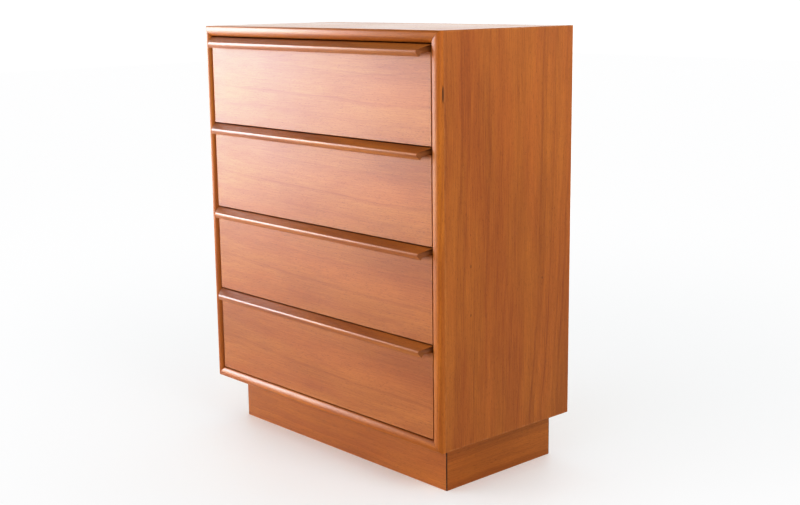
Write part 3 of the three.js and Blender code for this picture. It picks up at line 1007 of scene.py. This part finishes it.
def pull_section(settings, root, rear, drop):
    """Section of a pull in (Y, Z) from the front's rear top edge.

    root is the height of the pull where it joins the front, rear the depth of the part above the front, and
    drop how far the nose's top lies below the root's top.
    """
    nose_top = Vector((0.0, -drop))
    nose_turn = Vector((0.0, -drop - settings.nose_round))
    nose_bend = Vector((0.0, -drop - 2 * settings.nose_round))
    nose_foot = Vector((settings.nose_lean, -drop - settings.nose_height))
    nose_end = nose_foot + Vector((0.0, 1.5 * MM))
    shoulder = Vector((rear[1], 0.0))
    heel = Vector((settings.nose_lean + 2 * MM, nose_foot.y))
    cove_end = Vector((rear[1] - 9 * MM, -root))
    outline = [Vector((rear[0], -root)), Vector((rear[0], 0.0))]
    eased_corner(outline, Vector((rear[0], 0.0)), shoulder, nose_top, 1.5 * MM, 3)
    eased_corner(outline, shoulder, nose_top, nose_turn, settings.nose_round, 8)
    outline += curve(nose_turn, nose_bend, nose_end, 8)[1:]
    outline += curve(nose_end, nose_foot + Vector((0.5 * MM, 0.0)), nose_foot + Vector((1.5 * MM, 0.0)), 4)[1:]
    bend = Vector((heel.x + 1.5 * MM, -root - 0.6 * MM))
    outline += curve(heel, bend, cove_end, 12)
    return [tuple(point) for point in outline]


class CHEST_OT_drawer_pulls(bpy.types.Operator):
    """Make the full-width pull along the top of each drawer front"""

    bl_idname = "chest.drawer_pulls"
    bl_label = "Drawer pulls"

    def execute(self, context):
        settings = context.scene.chest_drawers
        for number, body in enumerate(DRAWERS):
            node = f"{body}_pull"
            low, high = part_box(node)
            front_low, front_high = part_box(f"{body}_front")
            case_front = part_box("top_lipping")[0].y
            root = high.z - front_high.z - 0.05 * MM
            drop = (high.z - low.z) - settings.nose_height
            rear = (high.y - low.y, front_low.y - low.y)
            section = [(y, z + high.z - low.z) for y, z in pull_section(settings, root, rear, drop)]
            reach = case_front - low.y
            mitre = ((0.0, 1.0, 0.0), reach, settings.mitre_run / reach)
            finish = finishes(context)["pull"]
            mesh = moulded(node, Y_AXIS, Z_AXIS, section, finish, settings.pull_ease, mitre)
            grain(mesh, X_AXIS, Y_AXIS, 81.0 + 2.3 * number)
            stand_for(mesh, f"{body}_pull_teak", body, "teak_solid", node)
        return {"FINISHED"}


class CHEST_OT_drawer_boxes(bpy.types.Operator):
    """Make the dovetailed sides, the rear and the floor of each drawer"""

    bl_idname = "chest.drawer_boxes"
    bl_label = "Drawer boxes"

    def execute(self, context):
        ease = context.scene.chest_drawers.box_ease
        materials = finishes(context)
        boards = {
            "side_right": (Y_AXIS, Z_AXIS, "drawer_wood"),
            "side_left": (Y_AXIS, Z_AXIS, "drawer_wood"),
            "rear": (X_AXIS, Z_AXIS, "drawer_wood"),
            "floor": (X_AXIS, Y_AXIS, "plywood"),
        }
        for number, body in enumerate(DRAWERS):
            for place, (part, (along, across, slot)) in enumerate(boards.items()):
                node = f"{body}_{part}"
                mesh = eased_copy(node, materials[slot], 0.3 * MM if part == "floor" else ease)
                grain(mesh, along, across, 91.0 + 5.3 * number + 1.1 * place)
                stand_for(mesh, f"{node}_{slot}", body, slot, node)
        return {"FINISHED"}


# ---------------------------------------------------------------- stage

CAMERA_PLACE = (2.0988, -1.8453, 0.9927)
CAMERA_TURN = radians(47.714)
CAMERA_DOWN = radians(11.474)
CAMERA_ROLL = radians(-0.678)

# The soft light on the front and the one on the right, each by its way from what it lights, and its size.
SOFT_AWAY, SOFT_SIZE = Vector((-2.4, -2.3, 0.0)), (2.2, 0.9)
SIDE_AWAY, SIDE_SIZE = Vector((1.6, -0.2, 0.75)), (0.9, 0.9)
FLANK_HEIGHT = 0.75

# Panels that only show mirrored in the finish: name, angle left of the front, height, distance and size.
MIRRORED_PANELS = (
    ("window_panel", 63, 1.55, 3.2, (1.8, 1.7)),
    ("sheer_panel", 36, 1.2, 3.0, (1.3, 2.2)),
    ("low_panel", 60, 0.38, 3.0, (2.2, 0.6)),
)

SKY_SEEN = 1.05
FLOOR_REACH = 14.0
GLOW_RANGE = (0.6, 3.0)
TONE_CURVE = (
    (0.02, 0.012), (0.05, 0.035), (0.1, 0.08), (0.2, 0.185),
    (0.35, 0.37), (0.5, 0.58), (0.65, 0.8), (0.8, 0.95),
)


def room():
    """A white room, dimmer on the right.

    The finish mirrors another room than the one that lights it: brighter walls and a nearly dark ceiling.
    """
    settings = bpy.context.scene.chest_stage
    world = bpy.data.worlds.new("white_room")
    world.use_nodes = True
    tree = world.node_tree
    background = tree.nodes["Background"]
    direction = tree.nodes.new("ShaderNodeTexCoord").outputs["Generated"]
    parts = split(tree, direction)
    high = spread(tree, parts[2], 0.25, 0.6)
    walls, ceiling = settings.room_light, settings.room_ceiling
    shade = spread(tree, parts[0], -0.2, 0.7, 1.0, settings.right_share)
    lit = maths(tree, "MULTIPLY", maths(tree, "MULTIPLY_ADD", high, ceiling - walls, walls), shade)
    walls, ceiling = settings.wall_light, settings.ceiling_light
    mirrored = maths(tree, "MULTIPLY_ADD", high, ceiling - walls, walls)
    path = tree.nodes.new("ShaderNodeLightPath")
    change = maths(tree, "SUBTRACT", mirrored, lit)
    strength = maths(tree, "MULTIPLY_ADD", path.outputs["Is Glossy Ray"], change, lit)
    seen = maths(tree, "MULTIPLY", path.outputs["Is Camera Ray"], SKY_SEEN)
    strength = maths(tree, "MAXIMUM", strength, seen)
    background.inputs["Color"].default_value = (1.0, 1.0, 1.0, 1.0)
    connect(tree, strength, background.inputs["Strength"])
    bpy.context.scene.world = world


def soft_box(name, place, aim, size, power, tint=(1.0, 1.0, 1.0)):
    """A rectangular light that no camera sees."""
    data = bpy.data.lights.new(name, "AREA")
    data.shape = "RECTANGLE"
    data.size, data.size_y = size
    data.energy = power
    data.color = tint
    lamp = bpy.data.objects.new(name, data)
    bpy.context.scene.collection.objects.link(lamp)
    lamp.location = place
    lamp.rotation_euler = (Vector(aim) - Vector(place)).to_track_quat("-Z", "Y").to_euler()
    lamp.visible_camera = False
    return lamp


def floor():
    """A large pale floor, faintly uneven, with painted light: a glow of its own that grows brighter away from
    the chest.
    """
    settings = bpy.context.scene.chest_stage
    reach = FLOOR_REACH
    mesh = bpy.data.meshes.new("floor")
    corners = [(-reach, -reach, 0.0), (reach, -reach, 0.0), (reach, reach, 0.0), (-reach, reach, 0.0)]
    mesh.from_pydata(corners, [], [(0, 1, 2, 3)])
    material, tree, shader = new_material("pale_floor")
    coordinates = tree.nodes.new("ShaderNodeTexCoord").outputs["Object"]
    cloudy = noise(tree, stretched(tree, coordinates, (1.3, 1.3, 1.3)), 0.0, 4.0)
    shade = spread(tree, cloudy, 0.3, 0.7, 0.95, 1.0)
    tint = opaque(settings.floor_colour)
    grey = opaque([channel * 0.93 for channel in settings.floor_colour])
    connect(tree, blended(tree, shade, grey, tint), shader.inputs["Base Color"])
    shader.inputs["Roughness"].default_value = 0.6
    shader.inputs["Specular IOR Level"].default_value = 0.3
    # Painted light: the floor glows, twice as strongly far from the chest as near it.
    shader.inputs["Emission Color"].default_value = (1.0, 1.0, 1.0, 1.0)
    distance = vector_maths(tree, "LENGTH", coordinates)
    glow = spread(tree, distance, *GLOW_RANGE, settings.floor_painted_glow, 2.0 * settings.floor_painted_glow)
    connect(tree, glow, shader.inputs["Emission Strength"])
    mesh.materials.append(material)
    piece = bpy.data.objects.new("floor", mesh)
    bpy.context.scene.collection.objects.link(piece)


def tone(scene):
    """A gentle curve in the tones: deeper shadows and a white floor."""
    scene.view_settings.use_curve_mapping = True
    mapping = scene.view_settings.curve_mapping
    mapping.initialize()
    for x, y in TONE_CURVE:
        mapping.curves[3].points.new(x, y)
    mapping.update()


class CHEST_OT_stage(bpy.types.Operator):
    """Make the floor, the white room, the soft lights and the camera"""

    bl_idname = "chest.stage"
    bl_label = "Stage"

    def execute(self, context):
        settings = context.scene.chest_stage
        scene = context.scene
        scene.view_settings.view_transform = "Standard"
        tone(scene)
        floor()
        room()
        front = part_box("top_lipping")[0].y
        middle = Vector((0.0, front, (cad_low.z + cad_high.z) / 2))
        soft = soft_box("soft_light", middle + SOFT_AWAY, middle, SOFT_SIZE, settings.soft_light)
        soft.visible_glossy = False
        flank = Vector((cad_high.x, 0.0, FLANK_HEIGHT))
        soft_box("side_light", flank + SIDE_AWAY, flank, SIDE_SIZE, settings.side_light)
        powers = (settings.window_light, settings.sheer_light, settings.low_light)
        for (name, angle, height, distance, size), power in zip(MIRRORED_PANELS, powers):
            aim = Vector((0.0, front, height))
            away = Vector((-sin(radians(angle)), -cos(radians(angle)), 0.0)) * distance
            panel = soft_box(name, aim + away, aim, size, power, settings.daylight)
            panel.visible_diffuse = False

        data = bpy.data.cameras.new("camera")
        data.lens = settings.lens
        data.sensor_width = 36.0
        camera = bpy.data.objects.new("camera", data)
        scene.collection.objects.link(camera)
        turn = Matrix.Rotation(CAMERA_TURN, 4, "Z") @ Matrix.Rotation(pi / 2 - CAMERA_DOWN, 4, "X")
        roll = Matrix.Rotation(CAMERA_ROLL, 4, "Z")
        camera.matrix_world = Matrix.Translation(CAMERA_PLACE) @ turn @ roll
        scene.camera = camera
        return {"FINISHED"}


# ---------------------------------------------------------------- add-on


class CHEST_PT_panel(bpy.types.Panel):
    """The steps of the chest, in order."""

    bl_idname = "CHEST_PT_panel"
    bl_label = "Chest of drawers"
    bl_space_type = "VIEW_3D"
    bl_region_type = "UI"
    bl_category = "Chest"

    def draw(self, context):
        column = self.layout.column(align=True)
        for step in STEPS:
            column.operator(step.bl_idname, text=step.bl_label)


SETTINGS = {
    "chest_case": ChestCaseSettings,
    "chest_drawers": ChestDrawerSettings,
    "chest_screws": ChestScrewSettings,
    "chest_finishes": ChestFinishSettings,
    "chest_stage": ChestStageSettings,
}
STEPS = (
    CHEST_OT_stage,
    CHEST_OT_case_panels,
    CHEST_OT_case_lippings,
    CHEST_OT_back_panel,
    CHEST_OT_plinth,
    CHEST_OT_runners,
    CHEST_OT_drawer_fronts,
    CHEST_OT_drawer_pulls,
    CHEST_OT_drawer_boxes,
)


def register():
    for kind in (*SETTINGS.values(), *STEPS, CHEST_PT_panel):
        bpy.utils.register_class(kind)
    for name, kind in SETTINGS.items():
        setattr(bpy.types.Scene, name, bpy.props.PointerProperty(type=kind))


def unregister():
    for name in SETTINGS:
        delattr(bpy.types.Scene, name)
    for kind in reversed((*SETTINGS.values(), *STEPS, CHEST_PT_panel)):
        bpy.utils.unregister_class(kind)


def main():
    register()
    for step in STEPS:
        family, name = step.bl_idname.split(".")
        getattr(getattr(bpy.ops, family), name)()


if __name__ == "__main__":
    main()
